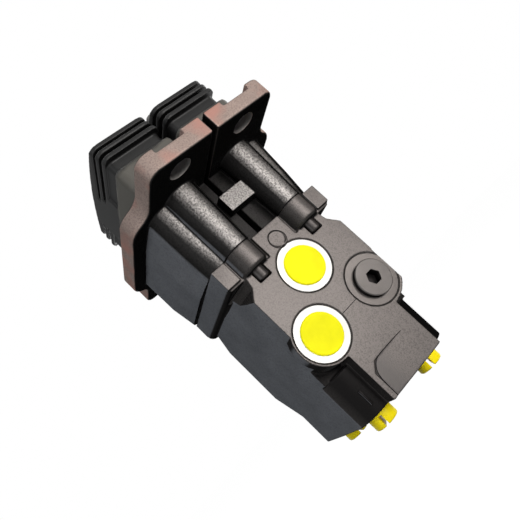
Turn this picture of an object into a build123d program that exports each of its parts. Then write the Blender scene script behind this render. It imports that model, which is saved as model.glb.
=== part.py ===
from build123d import *
from math import radians
import os

os.makedirs("parts", exist_ok=True)

# Twin-pedal hydraulic foot pilot valve. The origin is the middle of the four mounting
# holes on the underside of the flange, +Z points up to the pedals and -Y is the face
# with the pressure and tank ports. Every size is in millimetres.

# Places that several pieces share
station_x = 22.0  # pedal, spool and work port axes, left and right of the middle
station_y = 19.5  # spool axes in front of and behind the camshaft
shaft_height = 30.0  # camshaft axis above the flange underside
pedal_swing = 12.4  # degrees each way
sides = {"left": -1, "right": 1}
ends = {"front": -1, "rear": 1}

# Clearances
running_clearance = 0.03  # radial, for pieces that slide or turn in each other
fixed_clearance = 0.02  # radial, for pieces that only sit in each other
side_clearance = 0.4  # each side of a cam
rod_gap = 0.3  # push rod head to the cam

# Flange of the covers
cover_height = 44.4  # flange underside to the split face
seam = 3.4
flange_thickness = 11.7
flange_front = 85.3  # from the middle of the mounting holes
flange_rear = 87.6
flange_width = 87.0
lobe_width = 110.0
lobe_front = 30.0  # full width from here
lobe_rear = 40.0  # to here
lobe_run = 24.0  # length of each S-curve from lobe to end
flange_corner = 7.5
flange_edge = 0.8
mount_x = 23.0
mount_y = 72.0
mount_hole_radius = 7.0
bolt_recess_depth = 3.3
bolt_recess_radius = 9.5

# Bodies of the covers
wall_y = 38.0  # wall between the two columns
front_half_width = 39.9  # these four at the split face
front_half_length = 42.7
rear_half_length = 43.5
body_bulge = 46.2
bulge_from = -10.0
bulge_tuck = 2.4  # how far the bulge draws in at the split face
bulge_drop = 27.0  # below the flange underside, where the bulge is full
body_flare = 3.5  # how much wider the body is at the flange
front_rounding = 12.5
side_rounding = 40.0
rear_rounding = 6.0
column_x = 21.5
column_y = 44.0
column_radius = 9.2
column_root_radius = 11.3
lug_low = 26.4  # below the flange underside
lug_high = 14.9
lug_front = 46.0
lug_reach = 6.5  # past the middle, short of the other cover's column
lug_gap = 0.4

# Casing
casing_height = 111.0
casing_half_width = 38.6
casing_front_half_width = 36.6
casing_half_length = 45.0
plate_half_width = 41.5
plate_depth = 15.6
plate_setback = 1.5
plate_corner = 5.0
neck_drop = 14.4  # split face down to where the neck shows at the front
neck_rear = 36.0
neck_height = 14.2
notch_levels = (  # drop from the split face, half width left at the front, run to the rear
    (14.4, 30.0, 22.0),
    (20.1, 31.2, 20.0),
    (26.9, 37.0, 6.0),
)
shoulder_drop = 70.6  # split face down to where the rear slopes in
waist_drop = 82.6  # split face down to where the lower part begins
lower_rear = 36.0
lower_corner = 6.5
face_pad_half = 21.5
corner_boss_radius = 16.5
centre_pad_half = 10.8
outer_pad_from = 32.4
outer_pad_drop = 13.0
ear_drop = 14.5
ear_chamfer = 1.6
pocket_left = 18.5
pocket_height = 20.4
pocket_depth = 0.8
pocket_run = 26.0
foundry_disc_radius = 5.2
foundry_disc_drop = 9.5
foundry_disc_depth = 0.6

# Ports on the front face
p_drop = 30.6  # split face down to the pressure port
t_x = -22.5
t_drop = 62.3
h_x = 22.2
h_drop = 61.7
spotface_radius = 16.25
spotface_depth = 0.8
t_boss_radius = 17.4
h_boss_radius = 18.0
port_boss_depth = 8.0
corner_recess = 14.0  # depth of the front corners below the port bosses
port_bore_radius = 8.33  # G 3/8
port_bore_depth = 14.0
gallery_radius = 4.5
gallery_depth = 28.0

# Spool chambers
chamber_radius = 9.5
chamber_depth = 21.6
spool_radius = 5.0
spool_bore_length = 60.0
work_bore_radius = 6.58  # G 1/4
rear_port_y = 23.5
work_bore_depth = 14.0
work_passage_radius = 3.2

# Camshafts, bushes and cheeks
cam_width = 16.0
shaft_radius = 5.0
hub_radius = 11.0
bush_wall = 2.0
bush_flange = 1.5
bush_flange_radius = 9.2
cheek_thickness = 5.6
cheek_radius = 10.5
cheek_foot = 32.0
cam_arm = 27.0
cam_arm_tip = 4.0
cam_shoulder = 46.0
cam_neck = 18.0
pad_height = 60.0  # above the flange underside, to the underside of the pedal pad
pad_thickness = 6.0
pad_length = 40.0
pedal_hole_radius = 3.4  # M8 tapping size
pedal_hole_spacing = 30.0
screw_radius = 2.5
screw_length = 5.6
screw_socket = 1.25

# Push rods, guides and damping pistons
rod_radius = 4.0
rod_head_radius = 5.0
rod_head_sides = 12  # the ball head is turned from this many-sided profile
guide_radius = 8.5
guide_head_radius = 9.6
guide_head = 3.0
guide_length = 15.7
ring_groove_depth = 1.4
ring_groove_width = 2.2
ring_drop = 9.0
rod_seal_radius = 6.2
rod_seal_height = 3.0
damping_roof = 17.7  # flange top down to the roof of the damping bore
damping_radius = 10.5
stroke_margin = 1.3
piston_length = 12.0
piston_crown = 3.5
piston_bore_radius = 8.7

# Springs, seats and spools
damping_spring_radius = 8.5
return_spring_radius = 6.9
metering_spring_radius = 4.4
spring_wire = 1.1
seat_length = 25.0
seat_sleeve_radius = 5.6
seat_sleeve_bore = 4.6
seat_flange_radius = 7.0
seat_floor = 2.0
spool_stem_radius = 2.6
spool_stem_clearance = 0.3
spool_head_radius = 3.6
spool_head = 2.5
spool_collar = 4.0
spool_length = 52.0
spool_waist_radius = 3.4
spool_groove = 9.0
spool_play = 1.3
seat_play = 3.5  # spool head above the floor of its seat

# Bolts, rings and plugs
bolt_radius = 4.0  # M8
bolt_clearance = 0.5
bolt_head_radius = 6.5
bolt_head = 8.0
bolt_head_depth = 8.5  # below the flange top
bolt_socket = 3.0
bolt_tip = 6.5
bolt_tip_chamfer = 0.8
bore_ring_radius = 12.6  # middle of the ring
bore_ring_width = 1.4
bore_ring_clearance = 0.3
plug_disc_radius = 11.75
plug_disc = 1.4
plug_shank = 8.0
plug_clearance = 0.35
hex_head_radius = 11.0
hex_head = 3.5
hex_socket_flats = 8.0
hex_socket_depth = 6.0
hex_shank = 10.0
hex_chamfer = 0.5
hex_ring_width = 1.8
hex_ring_wall = 1.7
work_plug_radius = 7.8
work_plug_collar_radius = 8.7
work_plug_collar = 1.0
work_plug_head = 8.2
work_plug_shank = 9.0
work_plug_slot = 2.4
work_plug_slot_depth = 3.0
work_plug_round = 1.4

# Rubber bellows
bellows_inner_x = 2.7
bellows_width = 38.7
bellows_corner = 5.0
skirt_half_length = 54.0
skirt_overhang = 0.5
skirt_height = 17.0
skirt_chamfer = 1.0
rib_tips = (53.0, 51.4, 50.0)  # half lengths, from the lowest rib up
rib_tops = (28.7, 34.0, 38.8)  # rib top edges above the flange top
rib_thickness = 2.7
rib_depth = 4.5
rib_front_ends = (-11.0, -5.5, -1.5)  # where each groove runs out on the side
rib_rear_end = 30.0
bellows_crown = 3.6
bellows_wall = 2.2
lower_room_half_width = 17.0
upper_room_half_width = 12.0
upper_room_half_length = 43.0
neck_room = 15.2
neck_side_room = 0.5

# Derived places
split_z = -cover_height
bottom_z = split_z - casing_height
plate_z = split_z - plate_depth
block_z = split_z - neck_drop - neck_height
waist_z = split_z - waist_drop
front_plane = Plane(origin=(0, -casing_half_length, 0), x_dir=(1, 0, 0), z_dir=(0, -1, 0))
p_port = (0, split_z - p_drop)
t_port = (t_x, split_z - t_drop)
h_port = (h_x, split_z - h_drop)
rod_stroke = station_y * radians(pedal_swing)
roof_z = flange_thickness - damping_roof
piston_z = roof_z - rod_stroke - stroke_margin
crown_z = piston_z - piston_crown
seat_z = crown_z - seat_length
floor_z = split_z - chamber_depth
collar_z = floor_z + spool_collar
cam_under_z = shaft_height + rod_head_radius + rod_gap
cheek_offset = cam_width / 2 + side_clearance + bush_flange
bush_radius = shaft_radius + bush_wall
stations = [(x * station_x, y * station_y) for x in sides.values() for y in ends.values()]
columns = [(x * column_x, y * column_y) for x in sides.values() for y in ends.values()]
work_ports = [(x * station_x, y) for x in sides.values() for y in (-station_y, rear_port_y)]


def save(piece, name):
    piece.label = name
    export_step(piece, f"parts/{name}.step")


def tube(name, x, y, low, high, radius):
    """A coil spring as the closed sleeve that it fills."""
    with BuildPart(Plane.XY.offset(low)) as spring:
        with Locations((x, y)):
            Cylinder(radius, high - low, align=(Align.CENTER, Align.CENTER, Align.MIN))
            Hole(radius - spring_wire)
    save(spring.part, name)


def flange_outline(side):
    """Half of the flange: a straight inner edge, and a lobe between two narrow ends."""
    inner = side * seam / 2
    end = side * flange_width / 2
    lobe = side * lobe_width / 2
    with BuildLine() as outline:
        for way, tip, flat in ((-1, flange_front, lobe_front), (1, flange_rear, lobe_rear)):
            middle = ((end + lobe) / 2, way * (flat + lobe_run / 2))
            Line((inner, 0), (inner, way * tip))
            Line((inner, way * tip), (end, way * tip))
            Line((end, way * tip), (end, way * (flat + lobe_run)))
            outer = TangentArc((end, way * (flat + lobe_run)), middle, tangent=(0, -way))
            TangentArc(middle, (lobe, way * flat), tangent=outer % 1)
            Line((lobe, way * flat), (lobe, 0))
    return outline.line


def body_section(side, drop):
    """Section of a cover's bulged body, at a drop below the flange."""
    flare = body_flare * (1 - drop / cover_height)
    tuck = bulge_tuck * max(0, drop - bulge_drop) / (cover_height - bulge_drop)
    front = (side * (front_half_width + flare), -front_half_length - flare)
    bulge = (side * (body_bulge - tuck), bulge_from)
    rear = (side * (body_bulge - tuck), rear_half_length + flare)
    across = side * column_x
    inner = side * seam / 2
    with BuildSketch(Plane.XY.offset(-drop)) as section:
        with BuildLine():
            Polyline((across, -wall_y), (across, front[1]), front, bulge, rear)
            Polyline(rear, (across, rear[1]), (across, wall_y), (inner, wall_y))
            Polyline((inner, wall_y), (inner, -wall_y), (across, -wall_y))
        make_face()
        for corner, rounding in ((front, front_rounding), (bulge, side_rounding), (rear, rear_rounding)):
            fillet(section.vertices().sort_by_distance(corner)[0], rounding)
    return section.sketch


def make_cover(name, side):
    with BuildPart() as cover:
        with BuildSketch():
            make_face(flange_outline(side).edges())
        extrude(amount=flange_thickness)
        corners = cover.edges().filter_by(Axis.Z).filter_by(lambda e: abs(e.center().X) > seam)
        front_to_rear = corners.sort_by(Axis.Y)
        fillet([front_to_rear[0], front_to_rear[-1]], flange_corner)
        rims = cover.faces().filter_by(Axis.Z).edges()
        chamfer(rims, flange_edge)

        for low, high in ((cover_height, bulge_drop), (bulge_drop, 0)):
            loft([body_section(side, low), body_section(side, high)], ruled=True)
        with Locations(*[(side * column_x, way * column_y, split_z) for way in ends.values()]):
            Cone(
                column_radius,
                column_root_radius,
                cover_height,
                align=(Align.CENTER, Align.CENTER, Align.MIN),
            )

        # The lug joins its own column and reaches across in front of the other cover.
        lug_y = -side * lug_front
        with BuildSketch(Plane.XY.offset(-lug_low)):
            with BuildLine():
                Polyline(
                    (-side * lug_reach, lug_y),
                    (side * column_x, lug_y),
                    (side * column_x, -side * wall_y),
                    (side * (seam / 2), -side * wall_y),
                    (side * (seam / 2), -side * (wall_y + lug_gap)),
                    (-side * lug_reach, -side * (wall_y + lug_gap)),
                    close=True,
                )
            make_face()
        extrude(amount=lug_low - lug_high)

        # Two cheeks carry the bushes of the camshaft.
        for way in (-1, 1):
            inner_face = side * station_x + way * cheek_offset
            with BuildSketch(Plane.YZ.offset(inner_face)):
                with Locations((0, shaft_height)):
                    Circle(cheek_radius)
                with Locations((0, flange_thickness)):
                    Rectangle(cheek_foot, 1.0)
                make_hull()
            extrude(amount=way * cheek_thickness)
        with BuildSketch(Plane.YZ.offset(side * station_x)):
            with Locations((0, shaft_height)):
                Circle(bush_radius + fixed_clearance)
        extrude(amount=cheek_offset + cheek_thickness, both=True, mode=Mode.SUBTRACT)

        # Bolt head recesses, open at the flange end, and the mounting holes.
        for way, tip in ((-1, flange_front), (1, flange_rear)):
            with BuildSketch(Plane.XY.offset(flange_thickness)):
                with Locations((side * mount_x, way * mount_y)):
                    Circle(bolt_recess_radius)
                with Locations((side * mount_x, way * (mount_y + tip) / 2)):
                    Rectangle(2 * bolt_recess_radius, tip - mount_y)
            extrude(amount=-bolt_recess_depth, mode=Mode.SUBTRACT)
            with Locations((side * mount_x, way * mount_y, flange_thickness)):
                Hole(mount_hole_radius, depth=2 * flange_thickness)
            with Locations((side * column_x, way * column_y, flange_thickness)):
                CounterBoreHole(
                    bolt_radius + bolt_clearance,
                    bolt_head_radius + bolt_clearance,
                    bolt_head_depth,
                    depth=flange_thickness + cover_height,
                )
            with Locations((side * station_x, way * station_y, flange_thickness)):
                Hole(guide_radius + fixed_clearance, depth=damping_roof)
            with BuildSketch(Plane.XY.offset(split_z)):
                with Locations((side * station_x, way * station_y)):
                    Circle(damping_radius)
            extrude(amount=roof_z - split_z, mode=Mode.SUBTRACT)
    save(cover.part, name)


for side_name, side in sides.items():
    make_cover(f"{side_name}_cover", side)

with BuildPart() as casing:
    # Top plate, with corner, centre and bolt pads that stand out to the front face.
    with BuildSketch(Plane.XY.offset(split_z)):
        with Locations((0, plate_setback / 2)):
            Rectangle(2 * plate_half_width, 2 * casing_half_length - plate_setback)
    extrude(amount=-plate_depth)
    lower = casing.faces().sort_by(Axis.Z)[0].edges().filter_by(Axis.Y)
    fillet(lower, plate_corner)
    with BuildSketch(front_plane.offset(-2 * plate_setback)) as pads:
        for way in (-1, 1):
            with Locations((way * (plate_half_width + outer_pad_from) / 2, split_z)):
                Rectangle(
                    plate_half_width - outer_pad_from,
                    outer_pad_drop,
                    align=(Align.CENTER, Align.MAX),
                )
        low_corners = pads.vertices().filter_by(lambda v: v.Z < split_z - outer_pad_drop + 1)
        low_corners = low_corners.filter_by(lambda v: abs(v.X) > outer_pad_from + 1)
        fillet(low_corners, plate_corner)
        with Locations((0, split_z)):
            Rectangle(2 * centre_pad_half, plate_depth, align=(Align.CENTER, Align.MAX))
    extrude(amount=2 * plate_setback)
    for x, y in columns:
        with Locations((x, y, split_z)):
            Cylinder(column_radius, ear_drop, align=(Align.CENTER, Align.CENTER, Align.MAX))
    ear_rims = casing.edges().filter_by(GeomType.CIRCLE)
    ear_rims = ear_rims.filter_by(lambda e: abs(e.center().Z - split_z + ear_drop) < 0.01)
    chamfer(ear_rims, ear_chamfer)

    # Neck that deepens from under the plate down to the block.
    with BuildSketch(Plane.XY.offset(split_z - neck_drop)):
        with Locations((0, -casing_half_length)):
            Rectangle(
                2 * casing_half_width,
                casing_half_length + neck_rear,
                align=(Align.CENTER, Align.MIN),
            )
    with BuildSketch(Plane.XY.offset(block_z)):
        Rectangle(2 * casing_half_width, 2 * casing_half_length)
    loft()

    # Block with a rear that steps in towards the bottom.
    with BuildSketch(Plane.YZ):
        with BuildLine():
            Polyline(
                (-casing_half_length, block_z),
                (casing_half_length, block_z),
                (casing_half_length, split_z - shoulder_drop),
                (lower_rear, waist_z),
                (lower_rear, bottom_z),
                (-casing_half_length, bottom_z),
                close=True,
            )
        make_face()
    extrude(amount=casing_half_width, both=True)
    rear = casing.edges().filter_by(Axis.Z)
    rear = rear.filter_by(lambda e: e.center().Y > lower_rear - 0.1)
    fillet(rear.filter_by(lambda e: e.center().Z < waist_z), lower_corner)

    # The sides draw in towards the front, and the neck is notched at both front corners.
    outside = 2 * casing_half_width
    for way in (-1, 1):
        with BuildSketch(Plane.XY.offset(bottom_z)):
            with BuildLine():
                Polyline(
                    (way * casing_half_width, 0),
                    (way * casing_front_half_width, -casing_half_length),
                    (way * outside, -casing_half_length),
                    (way * outside, 0),
                    close=True,
                )
            make_face()
        extrude(amount=plate_z - bottom_z, mode=Mode.SUBTRACT)
        for upper, lower in zip(notch_levels, notch_levels[1:]):
            for drop, left, run in (upper, lower):
                with BuildSketch(Plane.XY.offset(split_z - drop)):
                    with BuildLine():
                        Polyline(
                            (way * left, -casing_half_length - 1),
                            (way * left, -casing_half_length),
                            (way * casing_half_width, run - casing_half_length),
                            (way * outside, run - casing_half_length),
                            (way * outside, -casing_half_length - 1),
                            close=True,
                        )
                    make_face()
            loft(ruled=True, mode=Mode.SUBTRACT)

    # Lower front corners, cut back below the port bosses and about each work port.
    corner_depth = casing_half_length - station_y + 1
    for way, port, radius in ((-1, t_port, t_boss_radius), (1, h_port, h_boss_radius)):
        outward = Align.MIN if way > 0 else Align.MAX
        with BuildSketch(Plane.XY.offset(bottom_z)):
            with Locations((way * face_pad_half, -station_y)):
                Rectangle(casing_half_width, corner_depth, align=(outward, Align.MAX))
            with Locations((way * station_x, -station_y)):
                Circle(corner_boss_radius, mode=Mode.SUBTRACT)
        extrude(amount=waist_z - bottom_z, mode=Mode.SUBTRACT)
        with BuildSketch(front_plane.offset(1)):
            with Locations((way * face_pad_half, waist_z)):
                Rectangle(casing_half_width, port[1] - waist_z, align=(outward, Align.MIN))
            with Locations(port):
                Circle(radius, mode=Mode.SUBTRACT)
        extrude(amount=-corner_recess - 1, mode=Mode.SUBTRACT)

    # Port bosses swell past the sides, with machined spotfaces and threaded bores.
    for place, radius in ((t_port, t_boss_radius), (h_port, h_boss_radius)):
        with BuildSketch(front_plane):
            with Locations(place):
                Circle(radius)
        extrude(amount=-port_boss_depth)
    for place in (p_port, t_port, h_port):
        with BuildSketch(front_plane):
            with Locations(place):
                Circle(spotface_radius)
        extrude(amount=-spotface_depth, mode=Mode.SUBTRACT)
        with BuildSketch(front_plane):
            with Locations(place):
                Circle(port_bore_radius)
        extrude(amount=-port_bore_depth, mode=Mode.SUBTRACT)
        with BuildSketch(front_plane):
            with Locations(place):
                Circle(gallery_radius)
        extrude(amount=-gallery_depth, mode=Mode.SUBTRACT)

    # Bare foundry disc and the run-out pocket of the lower front face.
    with BuildSketch(front_plane):
        with Locations((0, split_z - foundry_disc_drop)):
            Circle(foundry_disc_radius)
    extrude(amount=-foundry_disc_depth, mode=Mode.SUBTRACT)
    with BuildSketch(Plane.XY.offset(bottom_z)):
        with BuildLine():
            Polyline(
                (-pocket_left, -casing_half_length - 1),
                (-pocket_left, -casing_half_length + pocket_depth),
                (-pocket_left + pocket_run, -casing_half_length),
                (-pocket_left + pocket_run, -casing_half_length - 1),
                close=True,
            )
        make_face()
    extrude(amount=pocket_height, mode=Mode.SUBTRACT)

    # Chambers, spool bores and work ports, and the bolt and ring seats of the split face.
    for x, y in stations:
        with Locations((x, y, split_z)):
            Hole(chamber_radius, depth=chamber_depth)
            Hole(spool_radius, depth=chamber_depth + spool_bore_length)
            Hole(work_passage_radius, depth=casing_height - work_bore_depth / 2)
        with BuildSketch(Plane.XY.offset(split_z)):
            with Locations((x, y)):
                Circle(bore_ring_radius + bore_ring_width / 2 + bore_ring_clearance)
                Circle(bore_ring_radius - bore_ring_width / 2, mode=Mode.SUBTRACT)
        extrude(amount=-bore_ring_width, mode=Mode.SUBTRACT)
    with BuildSketch(Plane.XY.offset(bottom_z)):
        with Locations(work_ports):
            Circle(work_bore_radius)
    extrude(amount=work_bore_depth, mode=Mode.SUBTRACT)
    for x, y in columns:
        with Locations((x, y, split_z)):
            Hole(bolt_radius + fixed_clearance, depth=ear_drop)
        with Locations((x, y, split_z - ear_drop)):
            Hole(bolt_radius + bolt_clearance, depth=bolt_tip + bolt_clearance)
save(casing.part, "casing")

# Camshafts turn in flanged bushes and carry the cams.
with BuildPart() as bushes:
    for side in sides.values():
        for way in (-1, 1):
            seat = side * station_x + way * cheek_offset
            for radius, length in ((bush_radius, cheek_thickness), (bush_flange_radius, -bush_flange)):
                with BuildSketch(Plane.YZ.offset(seat)):
                    with Locations((0, shaft_height)):
                        Circle(radius)
                        Circle(shaft_radius + running_clearance, mode=Mode.SUBTRACT)
                extrude(amount=way * length)
save(bushes.part, "camshaft_bushes")

for side_name, side in sides.items():
    with BuildPart() as shaft:
        with BuildSketch(Plane.YZ.offset(side * station_x)):
            with Locations((0, shaft_height)):
                Circle(shaft_radius)
        extrude(amount=cheek_offset + cheek_thickness, both=True)
        chamfer(shaft.edges().filter_by(GeomType.CIRCLE), 0.6)
    save(shaft.part, f"{side_name}_camshaft")

    with BuildPart() as cam:
        with BuildSketch(Plane.YZ.offset(side * station_x)):
            with Locations((0, shaft_height)):
                Circle(hub_radius)
            with BuildLine():
                for way in (-1, 1):
                    Polyline(
                        (0, cam_under_z),
                        (way * cam_arm, cam_under_z),
                        (way * cam_arm, cam_under_z + cam_arm_tip),
                        (way * (cam_neck / 2 + 2), cam_shoulder),
                        (way * cam_neck / 2, pad_height),
                        (0, pad_height),
                    )
            make_face()
        extrude(amount=cam_width / 2, both=True)
        tips = cam.edges().filter_by(Axis.X)
        tips = tips.filter_by(lambda e: abs(abs(e.center().Y) - cam_arm) < 0.01)
        fillet(tips, cam_arm_tip / 3)
        with BuildSketch(Plane.XY.offset(pad_height)):
            with Locations((side * station_x, 0)):
                RectangleRounded(cam_width, pad_length, 3)
        extrude(amount=pad_thickness)
        with Locations((side * station_x, 0, pad_height + pad_thickness)):
            with Locations((0, -pedal_hole_spacing / 2), (0, pedal_hole_spacing / 2)):
                Hole(pedal_hole_radius, depth=pad_thickness)
        with BuildSketch(Plane.YZ.offset(side * station_x)):
            with Locations((0, shaft_height)):
                Circle(shaft_radius + fixed_clearance)
        extrude(amount=cam_width / 2, both=True, mode=Mode.SUBTRACT)
        with BuildSketch(Plane.XZ.offset(hub_radius)):
            with Locations((side * station_x, shaft_height)):
                Circle(screw_radius + fixed_clearance)
        extrude(amount=-hub_radius, mode=Mode.SUBTRACT)
    save(cam.part, f"{side_name}_cam")

    with BuildPart() as screw:
        with BuildSketch(Plane.XZ.offset(shaft_radius)):
            with Locations((side * station_x, shaft_height)):
                Circle(screw_radius)
        extrude(amount=screw_length)
        with BuildSketch(Plane.XZ.offset(shaft_radius + screw_length)):
            with Locations((side * station_x, shaft_height)):
                RegularPolygon(screw_socket, 6, major_radius=False)
        extrude(amount=-screw_length / 2, mode=Mode.SUBTRACT)
    save(screw.part, f"{side_name}_cam_screw")

# Push rods, with their guides, seals and rings in the covers.
for side_name, side in sides.items():
    for end_name, end in ends.items():
        x, y = side * station_x, end * station_y
        with BuildPart() as rod:
            with Locations((x, y, piston_z)):
                Cylinder(
                    rod_radius,
                    shaft_height - piston_z,
                    align=(Align.CENTER, Align.CENTER, Align.MIN),
                )
            with BuildSketch(Plane.XZ.offset(-y)):
                with Locations((x, shaft_height)):
                    RegularPolygon(rod_head_radius, rod_head_sides, rotation=180 / rod_head_sides)
                    Rectangle(
                        2 * rod_head_radius,
                        2 * rod_head_radius,
                        align=(Align.MAX, Align.CENTER),
                        mode=Mode.SUBTRACT,
                    )
            revolve(axis=Axis((x, y, 0), (0, 0, 1)))
        save(rod.part, f"{side_name}_{end_name}_push_rod")

        with BuildPart() as piston:
            with Locations((x, y, piston_z)):
                Cylinder(
                    damping_radius - running_clearance,
                    piston_length,
                    align=(Align.CENTER, Align.CENTER, Align.MAX),
                )
            with BuildSketch(Plane.XY.offset(piston_z - piston_length)):
                with Locations((x, y)):
                    Circle(piston_bore_radius)
            extrude(amount=piston_length - piston_crown, mode=Mode.SUBTRACT)
            chamfer(piston.edges().filter_by(GeomType.CIRCLE).sort_by(Axis.Z)[-1], 0.8)
        save(piston.part, f"{side_name}_{end_name}_damping_piston")

        with BuildPart() as seat:
            with Locations((x, y, seat_z)):
                Cylinder(
                    seat_sleeve_radius,
                    seat_length,
                    align=(Align.CENTER, Align.CENTER, Align.MIN),
                )
                Cylinder(
                    seat_flange_radius,
                    seat_floor,
                    align=(Align.CENTER, Align.CENTER, Align.MIN),
                )
            with BuildSketch(Plane.XY.offset(crown_z)):
                with Locations((x, y)):
                    Circle(seat_sleeve_bore)
            extrude(amount=-(seat_length - seat_floor), mode=Mode.SUBTRACT)
            with Locations((x, y, crown_z)):
                Hole(spool_stem_radius + spool_stem_clearance, depth=seat_length)
        save(seat.part, f"{side_name}_{end_name}_spring_seat")

        with BuildPart() as spool:
            with Locations((x, y, collar_z)):
                Cylinder(
                    spool_radius - running_clearance,
                    spool_length + spool_collar,
                    align=(Align.CENTER, Align.CENTER, Align.MAX),
                )
            head_z = seat_z + seat_floor + seat_play
            with Locations((x, y, collar_z)):
                Cylinder(
                    spool_stem_radius,
                    head_z - collar_z,
                    align=(Align.CENTER, Align.CENTER, Align.MIN),
                )
            with Locations((x, y, head_z)):
                Cylinder(
                    spool_head_radius,
                    spool_head,
                    align=(Align.CENTER, Align.CENTER, Align.MIN),
                )
            for land in (1, 3):
                with BuildSketch(Plane.XY.offset(floor_z - land * spool_length / 5)):
                    with Locations((x, y)):
                        Circle(spool_radius)
                        Circle(spool_waist_radius, mode=Mode.SUBTRACT)
                extrude(amount=-spool_groove, mode=Mode.SUBTRACT)
        save(spool.part, f"{side_name}_{end_name}_spool")

        name = f"{side_name}_{end_name}"
        tube(f"{name}_damping_spring", x, y, floor_z, crown_z, damping_spring_radius)
        tube(f"{name}_return_spring", x, y, floor_z, seat_z, return_spring_radius)
        tube(f"{name}_metering_spring", x, y, collar_z + spool_play, seat_z, metering_spring_radius)

with BuildPart() as guides:
    for x, y in stations:
        top = flange_thickness + guide_head
        with Locations((x, y, flange_thickness)):
            Cylinder(guide_radius, guide_length, align=(Align.CENTER, Align.CENTER, Align.MAX))
            Cylinder(guide_head_radius, guide_head, align=(Align.CENTER, Align.CENTER, Align.MIN))
        with Locations((x, y, top)):
            CounterBoreHole(
                rod_radius + running_clearance,
                rod_seal_radius,
                rod_seal_height + 0.3,
                depth=guide_length + guide_head,
            )
        with BuildSketch(Plane.XY.offset(flange_thickness - ring_drop)):
            with Locations((x, y)):
                Circle(guide_radius + 1)
                Circle(guide_radius - ring_groove_depth, mode=Mode.SUBTRACT)
        extrude(amount=-ring_groove_width, mode=Mode.SUBTRACT)
save(guides.part, "rod_guides")

with BuildPart() as seals:
    for x, y in stations:
        with Locations((x, y, flange_thickness + guide_head - 0.3)):
            Cylinder(
                rod_seal_radius,
                rod_seal_height,
                align=(Align.CENTER, Align.CENTER, Align.MAX),
            )
            Hole(rod_radius + 2 * running_clearance)
save(seals.part, "rod_seals")

with BuildPart() as guide_rings:
    with BuildSketch(Plane.XY.offset(flange_thickness - ring_drop)):
        with Locations(stations):
            Circle(guide_radius)
            Circle(guide_radius - ring_groove_depth, mode=Mode.SUBTRACT)
    extrude(amount=-ring_groove_width)
save(guide_rings.part, "guide_rings")

with BuildPart() as bore_rings:
    with BuildSketch(Plane.XY.offset(split_z)):
        with Locations(stations):
            Circle(bore_ring_radius + bore_ring_width / 2)
            Circle(bore_ring_radius - bore_ring_width / 2, mode=Mode.SUBTRACT)
    extrude(amount=-bore_ring_width)
save(bore_rings.part, "bore_rings")

# Bolts run down the columns and show their tips under the ears.
with BuildPart() as bolts:
    for x, y in columns:
        head_z = flange_thickness - bolt_head_depth
        length = head_z - (split_z - ear_drop) + bolt_tip
        with Locations((x, y, head_z)):
            Cylinder(bolt_radius, length, align=(Align.CENTER, Align.CENTER, Align.MAX))
            Cylinder(bolt_head_radius, bolt_head, align=(Align.CENTER, Align.CENTER, Align.MIN))
        with BuildSketch(Plane.XY.offset(head_z + bolt_head)):
            with Locations((x, y)):
                RegularPolygon(bolt_socket, 6, major_radius=False)
        extrude(amount=-bolt_head / 2, mode=Mode.SUBTRACT)
    tips = bolts.faces().group_by(Axis.Z)[0].edges()
    chamfer(tips, bolt_tip_chamfer)
save(bolts.part, "cover_bolts")

# Transport plugs and the hexagon socket plug of the ports.
for letter, place in (("p", p_port), ("t", t_port)):
    with BuildPart() as plug:
        with BuildSketch(front_plane.offset(-spotface_depth)):
            with Locations(place):
                Circle(plug_disc_radius)
        extrude(amount=plug_disc)
        chamfer(plug.faces().sort_by(Axis.Y)[0].edges(), plug_disc / 3)
        with BuildSketch(front_plane.offset(-spotface_depth)):
            with Locations(place):
                Circle(port_bore_radius - plug_clearance)
        extrude(amount=-plug_shank)
    save(plug.part, f"port_plug_{letter}")

with BuildPart() as hex_plug:
    with BuildSketch(front_plane.offset(-spotface_depth)):
        with Locations(h_port):
            Circle(hex_head_radius)
    extrude(amount=hex_head)
    chamfer(hex_plug.faces().sort_by(Axis.Y)[0].edges(), hex_chamfer)
    with BuildSketch(front_plane.offset(-spotface_depth)):
        with Locations(h_port):
            Circle(port_bore_radius - fixed_clearance)
    extrude(amount=-hex_shank)
    with BuildSketch(front_plane.offset(-spotface_depth)):
        with Locations(h_port):
            Circle(port_bore_radius + hex_ring_wall)
            Circle(port_bore_radius - fixed_clearance, mode=Mode.SUBTRACT)
    extrude(amount=hex_ring_width, mode=Mode.SUBTRACT)
    with BuildSketch(front_plane.offset(hex_head - spotface_depth)):
        with Locations(h_port):
            RegularPolygon(hex_socket_flats / 2, 6, major_radius=False)
    extrude(amount=-hex_socket_depth, mode=Mode.SUBTRACT)
save(hex_plug.part, "hex_plug")

with BuildPart() as hex_ring:
    with BuildSketch(front_plane.offset(-spotface_depth)):
        with Locations(h_port):
            Circle(port_bore_radius + hex_ring_wall)
            Circle(port_bore_radius, mode=Mode.SUBTRACT)
    extrude(amount=hex_ring_width)
save(hex_ring.part, "hex_plug_ring")

with BuildPart() as work_plugs:
    for x, y in work_ports:
        with Locations((x, y, bottom_z)):
            Cylinder(
                work_bore_radius - plug_clearance,
                work_plug_shank,
                align=(Align.CENTER, Align.CENTER, Align.MIN),
            )
            Cylinder(
                work_plug_collar_radius,
                work_plug_collar,
                align=(Align.CENTER, Align.CENTER, Align.MAX),
            )
        with Locations((x, y, bottom_z - work_plug_collar)):
            Cylinder(
                work_plug_radius,
                work_plug_head,
                align=(Align.CENTER, Align.CENTER, Align.MAX),
            )
    chamfer(work_plugs.faces().group_by(Axis.Z)[0].edges(), work_plug_round)
    with BuildSketch(Plane.XY.offset(bottom_z - work_plug_collar - work_plug_head)):
        with Locations(work_ports):
            Rectangle(work_plug_slot, 3 * work_plug_radius)
    extrude(amount=work_plug_slot_depth, mode=Mode.SUBTRACT)
save(work_plugs.part, "work_port_plugs")

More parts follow.
